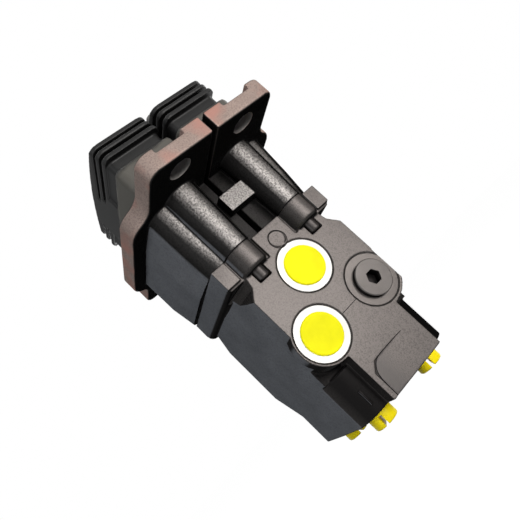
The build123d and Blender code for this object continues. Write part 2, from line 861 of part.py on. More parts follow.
# Rubber bellows: a smooth skirt, three ribs and a crowned top with room for the cam.
for side_name, side in sides.items():
    middle = side * (bellows_inner_x + bellows_width / 2)
    with BuildPart() as bellows:
        base = flange_thickness
        with BuildSketch(Plane.XY.offset(base)):
            with Locations((middle, 0)):
                RectangleRounded(
                    bellows_width + 2 * skirt_overhang,
                    2 * skirt_half_length,
                    bellows_corner + skirt_overhang,
                )
        extrude(amount=skirt_height)
        chamfer(bellows.faces().sort_by(Axis.Z)[-1].edges(), skirt_chamfer)
        low = base + skirt_height - skirt_chamfer / 2
        for rib_tip, rib_top in zip(rib_tips, rib_tops):
            with BuildSketch(Plane.XY.offset(low)):
                with Locations((middle, 0)):
                    RectangleRounded(bellows_width, 2 * rib_tip, bellows_corner)
            top_z = base + rib_top
            crown = bellows_crown if rib_tip == rib_tips[-1] else 0
            extrude(amount=top_z - low + crown)
            low = top_z
        with BuildSketch(Plane.YZ.offset(middle)):
            with BuildLine():
                tip = rib_tips[-1]
                ThreePointArc((-tip, low), (0, low + bellows_crown), (tip, low))
                Polyline((tip, low), (tip, low + 2 * bellows_crown), (-tip, low + 2 * bellows_crown))
                Line((-tip, low + 2 * bellows_crown), (-tip, low))
            make_face()
        extrude(amount=bellows_width / 2, both=True, mode=Mode.SUBTRACT)
        for level, front_end in enumerate(rib_front_ends[1:]):
            rib_top = rib_tops[level + 1]
            with BuildSketch(Plane.XY.offset(base + rib_top - rib_thickness)):
                with Locations((middle, 0)):
                    Rectangle(2 * bellows_width, 3 * skirt_half_length)
                    RectangleRounded(
                        bellows_width - 2 * rib_depth,
                        2 * (rib_tips[level + 1] - rib_depth),
                        bellows_corner - 1,
                        mode=Mode.SUBTRACT,
                    )
                with Locations((middle, (front_end + rib_rear_end) / 2)):
                    Rectangle(2 * bellows_width, rib_rear_end - front_end, mode=Mode.SUBTRACT)
            extrude(amount=-(rib_top - rib_tops[level] - rib_thickness), mode=Mode.SUBTRACT)

        # Room inside for the cheeks below and for the cam above them.
        with BuildSketch(Plane.XY.offset(base)):
            with Locations((middle, 0)):
                RectangleRounded(
                    2 * lower_room_half_width, 2 * (skirt_half_length - bellows_wall), 3
                )
        room_top = shaft_height + cheek_radius + 0.5
        extrude(amount=room_top - base, mode=Mode.SUBTRACT)
        with BuildSketch(Plane.XY.offset(room_top)):
            with Locations((middle, 0)):
                Rectangle(2 * upper_room_half_width, 2 * upper_room_half_length)
        extrude(amount=low - bellows_wall - room_top, mode=Mode.SUBTRACT)
        with BuildSketch(Plane.XY.offset(room_top)):
            with Locations((side * station_x, 0)):
                Rectangle(cam_width + 2 * neck_side_room, 2 * neck_room)
        extrude(amount=bellows_crown + low - room_top, mode=Mode.SUBTRACT)
    save(bellows.part, f"{side_name}_bellows")
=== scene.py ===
# %% [markdown]
# # A twin-pedal foot pilot valve
#
# The valve is a black cast-iron block that hangs under a cab floor. Two covers are bolted on
# top of it, each with half of the mounting flange, and a rubber bellows on each cover hides
# the cam that carries a pedal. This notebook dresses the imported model: the castings get
# rounded edges and a grainy skin, the bellows get their folds, the springs get their coils,
# and every small part gets the finish that a hydraulic valve has when it leaves its box.

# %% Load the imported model
import math

import bpy
from mathutils import Matrix, Vector


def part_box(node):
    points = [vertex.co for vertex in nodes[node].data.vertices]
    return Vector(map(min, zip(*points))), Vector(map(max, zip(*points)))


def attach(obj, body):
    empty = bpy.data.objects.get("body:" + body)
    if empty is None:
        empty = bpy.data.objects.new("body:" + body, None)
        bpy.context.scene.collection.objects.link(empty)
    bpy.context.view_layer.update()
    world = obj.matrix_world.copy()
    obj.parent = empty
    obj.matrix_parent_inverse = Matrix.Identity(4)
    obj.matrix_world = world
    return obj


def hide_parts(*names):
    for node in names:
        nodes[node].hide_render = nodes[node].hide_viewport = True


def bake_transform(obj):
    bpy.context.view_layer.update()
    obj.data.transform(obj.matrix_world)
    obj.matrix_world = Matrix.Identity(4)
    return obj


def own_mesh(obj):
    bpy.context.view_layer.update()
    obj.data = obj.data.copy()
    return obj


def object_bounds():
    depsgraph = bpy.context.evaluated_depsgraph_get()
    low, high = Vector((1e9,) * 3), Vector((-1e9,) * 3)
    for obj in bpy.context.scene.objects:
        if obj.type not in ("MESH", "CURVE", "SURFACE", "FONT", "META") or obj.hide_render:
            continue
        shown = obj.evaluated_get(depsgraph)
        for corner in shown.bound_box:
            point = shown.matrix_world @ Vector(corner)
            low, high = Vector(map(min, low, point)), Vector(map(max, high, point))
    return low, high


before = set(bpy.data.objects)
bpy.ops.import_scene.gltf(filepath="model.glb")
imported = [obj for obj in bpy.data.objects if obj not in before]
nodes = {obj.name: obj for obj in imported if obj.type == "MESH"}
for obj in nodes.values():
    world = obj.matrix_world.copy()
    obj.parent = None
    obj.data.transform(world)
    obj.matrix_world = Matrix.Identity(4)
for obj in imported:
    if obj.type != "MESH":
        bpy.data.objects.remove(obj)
cad_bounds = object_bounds()
MM = 0.001
SIDES = {"left": -1, "right": 1}
ENDS = {"front": -1, "rear": 1}
print(len(nodes), "nodes, box", [list(corner) for corner in cad_bounds])


# %% [markdown]
# ## Helpers for modelling by operator
#
# Every operator acts on what is selected, so each step starts from a clean selection. A new
# piece is finished only when its place, turn and size are in its mesh, because patterns on
# Object coordinates and the moving bodies both count from the origin.

# %% Selection helpers
def only(piece):
    """Makes a piece the one selected and active object."""
    bpy.ops.object.select_all(action="DESELECT")
    piece.select_set(True)
    bpy.context.view_layer.objects.active = piece


def in_edit_mode(piece, *steps):
    """Runs a few operators on a piece in edit mode."""
    only(piece)
    bpy.ops.object.mode_set(mode="EDIT")
    for step in steps:
        step()
    bpy.ops.object.mode_set(mode="OBJECT")


def settle(piece):
    """Puts a piece's place, turn and size into its mesh, so that its object sits at the origin."""
    only(piece)
    bpy.ops.object.transform_apply(location=True, rotation=True, scale=True)


def apply_modifiers(piece):
    """Makes the result of all modifiers the mesh itself."""
    only(piece)
    for modifier in list(piece.modifiers):
        bpy.ops.object.modifier_apply(modifier=modifier.name)


def shade_round(piece, angle=35):
    """Smooth shading, with creases where faces meet at more than an angle."""
    only(piece)
    bpy.ops.object.shade_smooth_by_angle(angle=math.radians(angle))


# %% [markdown]
# ## Working copies of the CAD solids
#
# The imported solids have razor-sharp edges, which no casting has. A node's mesh is loose
# triangles and is left alone. A copy of it is welded, so that it is one closed skin that can
# be cut, joined and remeshed, and the finished copy is shown in place of the node.

# %% Weld a copy and let it stand in
def merged_copy(node_name, name):
    """A welded copy of a CAD node."""
    node = nodes[node_name]
    piece = bpy.data.objects.new(name, node.data.copy())
    bpy.context.scene.collection.objects.link(piece)
    only(piece)
    if piece.data.has_custom_normals:
        bpy.ops.mesh.customdata_custom_splitnormals_clear()
    in_edit_mode(
        piece,
        lambda: bpy.ops.mesh.select_all(action="SELECT"),
        lambda: bpy.ops.mesh.remove_doubles(threshold=0.002 * MM),
    )
    return piece


def stand_in(piece, body, *node_names):
    """A finished piece rides on a body and takes the place of CAD nodes."""
    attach(piece, body)
    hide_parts(*node_names)
    return piece


# %% [markdown]
# ## Boxes and cuts
#
# Many small shapes are a box that is joined to a piece or cut out of it. The box is a cube
# primitive at its size and place, and a Boolean modifier does the rest.

# %% Box, rounded edges, joint and cut
def block(name, centre, size, corner=0.0):
    """A box with rounded upright edges, as a tool for a cut or a fill."""
    bpy.ops.object.select_all(action="DESELECT")
    bpy.ops.mesh.primitive_cube_add(size=1, location=centre)
    piece = bpy.context.object
    piece.name = name
    piece.scale = size
    settle(piece)
    if corner:
        points = piece.data.vertices
        for edge in piece.data.edges:
            foot, head = (points[index].co for index in edge.vertices)
            edge.select = foot.z != head.z
        in_edit_mode(
            piece,
            lambda: bpy.ops.mesh.select_mode(type="EDGE"),
            lambda: bpy.ops.mesh.bevel(offset=corner, segments=6, affect="EDGES"),
        )
    return piece


def combine(piece, tool, operation):
    """Joins a tool to a piece or cuts it out, and deletes the tool."""
    cut = piece.modifiers.new(operation.lower(), "BOOLEAN")
    cut.operation = operation
    cut.object = tool
    apply_modifiers(piece)
    bpy.data.objects.remove(tool, do_unlink=True)


def soften_edges(piece, width, segments=3):
    """A small bevel on every sharp edge."""
    bevel = piece.modifiers.new("soft edge", "BEVEL")
    bevel.width = width
    bevel.segments = segments
    bevel.limit_method = "ANGLE"
    bevel.angle_limit = math.radians(40)
    apply_modifiers(piece)


# %% [markdown]
# ## A shader group for cast and blasted skins
#
# Cast iron under a thin black phosphate coat is a fine, even grain with darker specks in its
# pits. Three scales of noise make it: a cloudy one that shifts the tone, a grain that is
# about half a millimetre across, and pits. The group gives a colour, a roughness and a
# height, and each material brings its own values.

# %% The grain group
def add_sockets(group, inputs, outputs):
    """Gives a node group its named inputs and outputs."""
    for name, kind, value in inputs:
        socket = group.interface.new_socket(name, in_out="INPUT", socket_type=kind)
        socket.default_value = value
    for name, kind in outputs:
        group.interface.new_socket(name, in_out="OUTPUT", socket_type=kind)


def make_grain_group():
    """Noise in three scales, as a colour, a roughness and a height."""
    group = bpy.data.node_groups.new("grainy skin", "ShaderNodeTree")
    add_sockets(
        group,
        [
            ("Tone", "NodeSocketColor", (0.3, 0.28, 0.27, 1)),
            ("Pit Colour", "NodeSocketColor", (0.1, 0.09, 0.09, 1)),
            ("Grain Scale", "NodeSocketFloat", 1500.0),
            ("Pits", "NodeSocketFloat", 0.5),
            ("Roughness", "NodeSocketFloat", 0.5),
        ],
        [
            ("Colour", "NodeSocketColor"),
            ("Roughness", "NodeSocketFloat"),
            ("Height", "NodeSocketFloat"),
        ],
    )
    tree, link = group.nodes, group.links
    start, end = tree.new("NodeGroupInput"), tree.new("NodeGroupOutput")
    place = tree.new("ShaderNodeTexCoord")

    grain = tree.new("ShaderNodeTexNoise")
    grain.inputs["Detail"].default_value = 2.5
    grain.inputs["Roughness"].default_value = 0.65
    link.new(place.outputs["Object"], grain.inputs["Vector"])
    link.new(start.outputs["Grain Scale"], grain.inputs["Scale"])

    clouds = tree.new("ShaderNodeTexNoise")
    clouds.inputs["Scale"].default_value = 55.0
    clouds.inputs["Detail"].default_value = 3.0
    link.new(place.outputs["Object"], clouds.inputs["Vector"])
    shade = tree.new("ShaderNodeMapRange")
    for name, value in (("From Min", 0.3), ("From Max", 0.7), ("To Min", 0.88), ("To Max", 1.1)):
        shade.inputs[name].default_value = value
    link.new(clouds.outputs["Fac"], shade.inputs["Value"])

    pits = tree.new("ShaderNodeMapRange")
    for name, value in (("From Min", 0.54), ("From Max", 0.34), ("To Min", 0.0), ("To Max", 1.0)):
        pits.inputs[name].default_value = value
    link.new(grain.outputs["Fac"], pits.inputs["Value"])
    depth = tree.new("ShaderNodeMath")
    depth.operation = "MULTIPLY"
    link.new(pits.outputs["Result"], depth.inputs[0])
    link.new(start.outputs["Pits"], depth.inputs[1])

    toned = tree.new("ShaderNodeVectorMath")
    toned.operation = "SCALE"
    link.new(start.outputs["Tone"], toned.inputs[0])
    link.new(shade.outputs["Result"], toned.inputs["Scale"])
    pitted = tree.new("ShaderNodeMix")
    pitted.data_type = "RGBA"
    link.new(depth.outputs["Value"], pitted.inputs["Factor"])
    link.new(toned.outputs["Vector"], pitted.inputs["A"])
    link.new(start.outputs["Pit Colour"], pitted.inputs["B"])

    rough = tree.new("ShaderNodeMath")
    rough.operation = "MULTIPLY_ADD"
    rough.inputs[1].default_value = 0.16
    link.new(grain.outputs["Fac"], rough.inputs[0])
    link.new(start.outputs["Roughness"], rough.inputs[2])

    link.new(pitted.outputs["Result"], end.inputs["Colour"])
    link.new(rough.outputs["Value"], end.inputs["Roughness"])
    link.new(grain.outputs["Fac"], end.inputs["Height"])
    return group


grain_group = make_grain_group()


# %% [markdown]
# ## Materials from the group
#
# A finish is the group, a bump and a Principled shader. What is the same all over, such as
# the specular level, is set on the shader itself. The black castings are partly metal: a
# metal's tint at grazing angles can be set dark, so that the white studio doesn't veil them.

# %% A grainy finish
def set_group(node, values):
    """Sets a few inputs of a node by name."""
    for name, value in values.items():
        node.inputs[name].default_value = value


def shader_of(material):
    """The Principled shader that every new material starts with."""
    return material.node_tree.nodes["Principled BSDF"]


def grainy_finish(
    name,
    tone,
    pit,
    roughness,
    scale=1500.0,
    pits=0.5,
    bump=0.4,
    metallic=0.0,
    specular=0.3,
    edge=1.0,
):
    """A Principled material on the grain group; edge is how much a metal mirrors at its rim."""
    material = bpy.data.materials.new(name)
    material.use_nodes = True
    tree, link = material.node_tree.nodes, material.node_tree.links
    shader = shader_of(material)
    shader.inputs["Metallic"].default_value = metallic
    shader.inputs["Specular IOR Level"].default_value = specular
    shader.inputs["Specular Tint"].default_value = (edge, edge, edge, 1)
    skin = tree.new("ShaderNodeGroup")
    skin.node_tree = grain_group
    set_group(
        skin,
        {
            "Tone": (*tone, 1),
            "Pit Colour": (*pit, 1),
            "Grain Scale": scale,
            "Pits": pits,
            "Roughness": roughness - 0.08,
        },
    )
    relief = tree.new("ShaderNodeBump")
    relief.inputs["Strength"].default_value = bump
    relief.inputs["Distance"].default_value = 0.4 * MM
    link.new(skin.outputs["Height"], relief.inputs["Height"])
    link.new(skin.outputs["Colour"], shader.inputs["Base Color"])
    link.new(skin.outputs["Roughness"], shader.inputs["Roughness"])
    link.new(relief.outputs["Normal"], shader.inputs["Normal"])
    return material


# %% [markdown]
# ## The finishes
#
# Each finish is a tone, the darker tone of its pits, and how rough, fine and metallic it is.
# The tones are linear, so a black coat is near 0.01 and not near 0.1.

# %% Tones of the castings
IRON = ((0.04, 0.037, 0.0355), (0.012, 0.011, 0.011))
COAT = ((0.014, 0.0133, 0.013), (0.007, 0.007, 0.007))
# partly wear, partly painted highlight: greyer iron on the front-facing grain
RUBBED_SHEEN_IRON = (0.092, 0.083, 0.079, 1)
RUBBED_SHEEN_COAT = (0.17, 0.16, 0.154, 1)
# painted light: the lighter slate tone of the flat side walls
LIT_SLATE = ((0.155, 0.16, 0.172), (0.09, 0.093, 0.1))
SHADE = (0.014, 0.014, 0.014, 1)
RIM = ((0.3, 0.235, 0.208), (0.11, 0.075, 0.064))
RUST = (0.36, 0.195, 0.162, 1)
BARE_GREY = (0.17, 0.163, 0.157, 1)
# painted shade: black in the cut-back corners of the front
RECESS_SHADE = (0.008, 0.0075, 0.0075, 1)
POCKET_FLOOR = (0.066, 0.061, 0.059, 1)

# %% Finishes, one by one
cast_iron = grainy_finish(
    "cast iron", *IRON, 0.42, 1500, 0.6, 0.16, metallic=0.6, specular=0.0, edge=0.15
)
cover_iron = grainy_finish(
    "cover iron", *COAT, 0.38, 1000, 0.75, 0.7, metallic=0.85, specular=0.0, edge=0.15
)
machined = grainy_finish(
    "machined seat", (0.78, 0.77, 0.75), (0.68, 0.67, 0.65), 0.35, pits=0.1, bump=0.05
)
oiled_seat = grainy_finish(
    "oiled seat", (0.085, 0.077, 0.073), (0.06, 0.055, 0.053), 0.4, 1500, 0.3, 0.08, 0.6, 0.0, 0.15
)
# painted shade: the black of the thin lines and of the rings round the seats
shade_line = grainy_finish(
    "shade_line", (0.012, 0.011, 0.011), (0.008, 0.008, 0.008), 0.6, 1500, 0.3, 0.05, specular=0.03
)
bolt_steel = grainy_finish(
    "bolt steel", (0.034, 0.031, 0.03), (0.02, 0.018, 0.018), 0.35, 900, 0.3, 0.15, 0.8, 0.0, 0.15
)
plug_steel = grainy_finish(
    "plug steel", (0.076, 0.07, 0.067), (0.045, 0.042, 0.04), 0.4, 2500, 0.2, 0.06, 0.6, 0.0, 0.15
)
cam_steel = grainy_finish(
    "cam steel", (0.13, 0.125, 0.12), (0.08, 0.077, 0.075), 0.42, 900, 0.4, 0.15, 0.6, 0.2, 0.3
)
ground_steel = grainy_finish(
    "ground steel", (0.55, 0.55, 0.57), (0.4, 0.4, 0.42), 0.28, 2500, 0.2, 0.05, 1.0
)
spring_steel = grainy_finish(
    "spring steel", (0.25, 0.25, 0.27), (0.15, 0.15, 0.16), 0.35, 2000, 0.3, 0.1, 0.9
)
bronze = grainy_finish("bronze", (0.55, 0.36, 0.16), (0.35, 0.22, 0.1), 0.35, 1800, 0.3, 0.1, 1.0)
seal_rubber = grainy_finish(
    "seal rubber", (0.02, 0.02, 0.02), (0.012, 0.012, 0.012), 0.5, 1800, 0.3, 0.1
)
yellow_cap = grainy_finish(
    "yellow cap", (0.8, 0.76, 0.003), (0.78, 0.73, 0.003), 0.5, 400, 0.3, 0.03, specular=0.06
)
yellow_plug = grainy_finish(
    "yellow plug", (0.78, 0.64, 0.003), (0.7, 0.56, 0.003), 0.4, 400, 0.3, 0.03, specular=0.12
)
print(len(bpy.data.materials), "finishes so far")


# %% [markdown]
# ### Masks by place and direction
#
# A casting isn't worn alike all over. Which way a face looks and where it lies decide what has
# rubbed or run over it, and the same masks also paint light and shade on the castings, so the
# masks read the normal and the object's own coordinates, never the camera. Each helper adds one
# small step to a material's nodes.

# %% Mask helpers
def mix_in(material, socket_name, other, mask):
    """Mixes another value over what a shader's socket has now."""
    tree, link = material.node_tree.nodes, material.node_tree.links
    socket = shader_of(material).inputs[socket_name]
    blend = tree.new("ShaderNodeMix")
    blend.data_type = "RGBA" if socket.type == "RGBA" else "FLOAT"
    link.new(mask, blend.inputs["Factor"])
    if socket.is_linked:
        link.new(socket.links[0].from_socket, blend.inputs["A"])
    else:
        blend.inputs["A"].default_value = socket.default_value
    if hasattr(other, "is_output"):
        link.new(other, blend.inputs["B"])
    else:
        blend.inputs["B"].default_value = other
    link.new(blend.outputs["Result"], socket)


def ramp_mask(material, value, start, end, least=0.0):
    """The least at the start value, 1 at the end value."""
    tree, link = material.node_tree.nodes, material.node_tree.links
    ramp = tree.new("ShaderNodeMapRange")
    ramp.inputs["From Min"].default_value = start
    ramp.inputs["From Max"].default_value = end
    ramp.inputs["To Min"].default_value = least
    link.new(value, ramp.inputs["Value"])
    return ramp.outputs["Result"]


def without_sign(material, value):
    """The size of a number, so that left and right count the same."""
    size = material.node_tree.nodes.new("ShaderNodeMath")
    size.operation = "ABSOLUTE"
    material.node_tree.links.new(value, size.inputs[0])
    return size.outputs["Value"]


def normal_part(material, axis, either_way=True):
    """How far a face looks along an axis, either way or with its sign."""
    tree, link = material.node_tree.nodes, material.node_tree.links
    shape, parts = tree.new("ShaderNodeNewGeometry"), tree.new("ShaderNodeSeparateXYZ")
    link.new(shape.outputs["Normal"], parts.inputs["Vector"])
    part = parts.outputs[axis]
    return without_sign(material, part) if either_way else part


def place_part(material, axis):
    """Where a point lies along an axis, in metres."""
    tree, link = material.node_tree.nodes, material.node_tree.links
    place, parts = tree.new("ShaderNodeTexCoord"), tree.new("ShaderNodeSeparateXYZ")
    link.new(place.outputs["Object"], parts.inputs["Vector"])
    return parts.outputs[axis]


def grain_of(material):
    """The grain of a finish, as a mask that is high on its proud spots."""
    skin = next(node for node in material.node_tree.nodes if node.type == "GROUP")
    return skin.outputs["Height"]


def product(material, *factors):
    """Masks multiplied together."""
    tree, link = material.node_tree.nodes, material.node_tree.links
    result = factors[0]
    for factor in factors[1:]:
        both = tree.new("ShaderNodeMath")
        both.operation = "MULTIPLY"
        link.new(result, both.inputs[0])
        link.new(factor, both.inputs[1])
        result = both.outputs["Value"]
    return result


def skin_colour(material, tone, pit, scale, pits):
    """The colour of another grain skin in the same material."""
    skin = material.node_tree.nodes.new("ShaderNodeGroup")
    skin.node_tree = grain_group
    values = {"Tone": (*tone, 1), "Pit Colour": (*pit, 1), "Grain Scale": scale, "Pits": pits}
    set_group(skin, values)
    return skin.outputs["Colour"]


# %% [markdown]
# ### Worn castings, with painted light and shade
#
# The walls that face left and right are smooth and matte, and their lighter slate-grey tone is
# painted light. On the front of the block and of the columns the black coat is rubbed thin on
# the proud spots of the grain, and the greyer iron there is partly wear and partly a painted
# highlight. The run-out pocket has a darker tone. The cut-back corners and everything that
# looks down are painted shade, deep black.

# %% Slate sides in painted light, rubbed front with painted highlight, painted shade in recesses
FLAT_SIDE = (0.93, 0.985)
ANY_SIDE = (0.6, 0.9)
OUTWARD = (-0.78, -0.98)
ROUGHLY_OUTWARD = (-0.3, -0.7)
DOWNWARD = (-0.6, -0.9)
PROUD_SPOTS = (0.36, 0.58)
OUTER_SIDE = (21.6 * MM, 22.1 * MM)
PROUD = (-40.0 * MM, -43.5 * MM)
CUT_BACK = (-40.0 * MM, -37.5 * MM)
POCKET_HEIGHT = (-134.5 * MM, -136.0 * MM)
POCKET_SUNK = (-44.7 * MM, -44.4 * MM)


def lit_slate_sides(material):
    """A lighter slate grey on the flat outer sides, which is painted light, and a rougher skin on
    all that faces sideways.
    """
    sideways = normal_part(material, "X")
    reach = without_sign(material, place_part(material, "X"))
    outer = ramp_mask(material, reach, *OUTER_SIDE)
    flat_side = product(material, ramp_mask(material, sideways, *FLAT_SIDE), outer)
    mix_in(material, "Base Color", skin_colour(material, *LIT_SLATE, 900.0, 0.5), flat_side)
    mix_in(material, "Metallic", 0.0, flat_side)
    mix_in(material, "Roughness", 0.75, ramp_mask(material, sideways, *ANY_SIDE))


def rubbed_sheen_front(material, tone, least):
    """Greyer iron on the proud grain of the front, and at least a share of it between; partly wear,
    partly a painted highlight.
    """
    outward = ramp_mask(material, normal_part(material, "Y", False), *OUTWARD)
    proud = ramp_mask(material, place_part(material, "Y"), *PROUD)
    grain = ramp_mask(material, grain_of(material), *PROUD_SPOTS, least)
    mix_in(material, "Base Color", tone, product(material, outward, proud, grain))


def dark_recesses(material):
    """A darker tone on the pocket floor, and painted shade, black, in the cut-back corners of the
    front.
    """
    outward = ramp_mask(material, normal_part(material, "Y", False), *OUTWARD)
    low = ramp_mask(material, place_part(material, "Z"), *POCKET_HEIGHT)
    sunk = ramp_mask(material, place_part(material, "Y"), *POCKET_SUNK)
    mix_in(material, "Base Color", POCKET_FLOOR, product(material, outward, low, sunk))
    inward = ramp_mask(material, normal_part(material, "Y", False), *ROUGHLY_OUTWARD)
    deep = ramp_mask(material, place_part(material, "Y"), *CUT_BACK)
    mix_in(material, "Base Color", RECESS_SHADE, product(material, inward, deep))


def shaded_below(material):
    """Deep black on what looks down."""
    below = ramp_mask(material, normal_part(material, "Z", False), *DOWNWARD)
    mix_in(material, "Base Color", SHADE, below)
    mix_in(material, "Roughness", 0.95, below)


lit_slate_sides(cast_iron)
rubbed_sheen_front(cast_iron, RUBBED_SHEEN_IRON, 0.55)
dark_recesses(cast_iron)
shaded_below(cast_iron)
lit_slate_sides(cover_iron)
rubbed_sheen_front(cover_iron, RUBBED_SHEEN_COAT, 0.3)
shaded_below(cover_iron)


# %% [markdown]
# ### The bare rim of the flange
#
# The rim of the mounting flange is left without the black coat. It is brown-grey with a rusty
# tone. A wall of the flange is known by its height and by a normal that lies level, so the
# mask is made of these two, and it fades over the rounded edge. The walls of the seam between
# the two halves keep their coat, and those of the four bolt holes are plain grey.

# %% Rim mask in the covers' iron
HOLE_X, HOLE_Y = 23.0 * MM, 72.0 * MM
HOLE_REACH = 8.0 * MM
SEAM_WALL = 1.7 * MM


def bolt_hole_mask(material):
    """1 at the four bolt holes of the flange, whose walls are drilled and grey."""
    tree, link = material.node_tree.nodes, material.node_tree.links
    place = tree.new("ShaderNodeTexCoord")
    folded, level, gap = (tree.new("ShaderNodeVectorMath") for _ in range(3))
    folded.operation, level.operation, gap.operation = "ABSOLUTE", "MULTIPLY", "DISTANCE"
    level.inputs[1].default_value = (1, 1, 0)
    gap.inputs[1].default_value = (HOLE_X, HOLE_Y, 0)
    link.new(place.outputs["Object"], folded.inputs[0])
    link.new(folded.outputs["Vector"], level.inputs[0])
    link.new(level.outputs["Vector"], gap.inputs[0])
    return ramp_mask(material, gap.outputs["Value"], HOLE_REACH + 0.5 * MM, HOLE_REACH - 0.5 * MM)


def bare_rim(material, low, high):
    """Mixes the rim's tone into a grainy finish where a wall of the flange stands upright."""
    tree, link = material.node_tree.nodes, material.node_tree.links
    place = tree.new("ShaderNodeTexCoord")
    height = place_part(material, "Z")
    reach = without_sign(material, place_part(material, "X"))
    mask = product(
        material,
        ramp_mask(material, normal_part(material, "Z"), 0.75, 0.35),
        ramp_mask(material, height, low - 0.3 * MM, low + 0.3 * MM),
        ramp_mask(material, height, high + 0.3 * MM, high - 0.3 * MM),
        ramp_mask(material, reach, SEAM_WALL + 0.2 * MM, SEAM_WALL + 1.0 * MM),
    )
    patches = tree.new("ShaderNodeTexNoise")
    patches.inputs["Scale"].default_value = 38.0
    patches.inputs["Detail"].default_value = 4.0
    link.new(place.outputs["Object"], patches.inputs["Vector"])
    mix_in(material, "Base Color", skin_colour(material, *RIM, 1300.0, 0.5), mask)
    mix_in(material, "Metallic", 0.1, mask)
    rusty = product(material, mask, ramp_mask(material, patches.outputs["Fac"], 0.5, 0.66))
    mix_in(material, "Base Color", RUST, rusty)
    mix_in(material, "Base Color", BARE_GREY, product(material, mask, bolt_hole_mask(material)))


bare_rim(cover_iron, 0.0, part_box("left_bellows")[0].z)

# %% Painted shade, black, in the depth of the steel plug
plug_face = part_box("hex_plug")[0].y
for depth, fade, tone in ((0.6, 0.4, (0.03, 0.027, 0.026, 1)), (2.6, 0.8, (0.012, 0.011, 0.011, 1))):
    deep = ramp_mask(
        plug_steel,
        place_part(plug_steel, "Y"),
        plug_face + depth * MM,
        plug_face + (depth + fade) * MM,
    )
    mix_in(plug_steel, "Base Color", tone, deep)


# %% [markdown]
# ## Rubber for the bellows
#
# The ribs are clean and black, with a soft sheen along their rounded tops. The skirt below
# them is painted a lighter olive-grey, which is painted light, so its colour is mixed in by
# height with a ragged edge.

# %% Black rubber with a painted light skirt
bellows_low, bellows_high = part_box("left_bellows")
SKIRT_TOP = bellows_low.z + 17.0 * MM


def make_rubber():
    """Black rubber with a skirt painted lighter, which is painted light."""
    material = bpy.data.materials.new("bellows rubber")
    material.use_nodes = True
    tree, link = material.node_tree.nodes, material.node_tree.links
    shader = shader_of(material)
    shader.inputs["Specular IOR Level"].default_value = 0.22
    place = tree.new("ShaderNodeTexCoord")
    split = tree.new("ShaderNodeSeparateXYZ")
    link.new(place.outputs["Object"], split.inputs["Vector"])
    mottle = tree.new("ShaderNodeTexNoise")
    mottle.inputs["Scale"].default_value = 90.0
    mottle.inputs["Detail"].default_value = 4.0
    link.new(place.outputs["Object"], mottle.inputs["Vector"])
    ragged = tree.new("ShaderNodeMath")
    ragged.operation = "MULTIPLY_ADD"
    ragged.inputs[1].default_value = 6.0 * MM
    link.new(mottle.outputs["Fac"], ragged.inputs[0])
    link.new(split.outputs["Z"], ragged.inputs[2])
    low = tree.new("ShaderNodeMapRange")
    low.inputs["From Min"].default_value = SKIRT_TOP + 4.0 * MM
    low.inputs["From Max"].default_value = SKIRT_TOP + 1.0 * MM
    link.new(ragged.outputs["Value"], low.inputs["Value"])
    colour = tree.new("ShaderNodeMix")
    colour.data_type = "RGBA"
    colour.inputs["A"].default_value = (0.006, 0.006, 0.006, 1)
    # painted light: the lighter olive-grey of the skirt
    colour.inputs["B"].default_value = (0.075, 0.071, 0.062, 1)
    link.new(low.outputs["Result"], colour.inputs["Factor"])
    grain = tree.new("ShaderNodeTexNoise")
    grain.inputs["Scale"].default_value = 1200.0
    grain.inputs["Detail"].default_value = 2.0
    link.new(place.outputs["Object"], grain.inputs["Vector"])
    relief = tree.new("ShaderNodeBump")
    relief.inputs["Strength"].default_value = 0.15
    relief.inputs["Distance"].default_value = 0.1 * MM
    link.new(grain.outputs["Fac"], relief.inputs["Height"])
    rough = tree.new("ShaderNodeMapRange")
    rough.inputs["To Min"].default_value = 0.38
    rough.inputs["To Max"].default_value = 0.5
    link.new(mottle.outputs["Fac"], rough.inputs["Value"])
    link.new(rough.outputs["Result"], shader.inputs["Roughness"])
    link.new(colour.outputs["Result"], shader.inputs["Base Color"])
    link.new(relief.outputs["Normal"], shader.inputs["Normal"])
    return material


bellows_rubber = make_rubber()
sideways = ramp_mask(bellows_rubber, normal_part(bellows_rubber, "X"), 0.6, 0.9)
mix_in(bellows_rubber, "Roughness", 0.8, sideways)


# %% [markdown]
# ## Finish the nodes whose shape is right
#
# Shafts, rods, cams, bolts and the upper plugs keep their CAD shape. Each gets its finish, and
# a live weld and bevel where its edges can be seen, because an edge with no radius catches no
# light.

# %% Dress the CAD nodes
FINISHES = {
    "camshaft": ground_steel,
    "cam_screw": bolt_steel,
    "push_rod": ground_steel,
    "damping_piston": ground_steel,
    "spring_seat": ground_steel,
    "spool": ground_steel,
    "camshaft_bushes": bronze,
    "rod_guides": bronze,
    "rod_seals": seal_rubber,
    "guide_rings": seal_rubber,
    "bore_rings": seal_rubber,
    "hex_plug_ring": seal_rubber,
    "cover_bolts": bolt_steel,
    "hex_plug": plug_steel,
    "port_plug_p": yellow_cap,
    "port_plug_t": yellow_cap,
    "left_cam": cam_steel,
    "right_cam": cam_steel,
}
VISIBLE_EDGES = {
    "cover_bolts": 0.5,
    "hex_plug": 0.25,
    "port_plug_p": 0.3,
    "port_plug_t": 0.3,
    "left_cam": 0.6,
    "right_cam": 0.6,
}


def wear(piece, material):
    """Gives a piece one finish all over."""
    piece.data.materials.clear()
    piece.data.materials.append(material)


def finish_for(node_name):
    """The finish whose name is the longest ending of a node's name."""
    endings = [ending for ending in FINISHES if node_name.endswith(ending)]
    return FINISHES[max(endings, key=len)] if endings else None


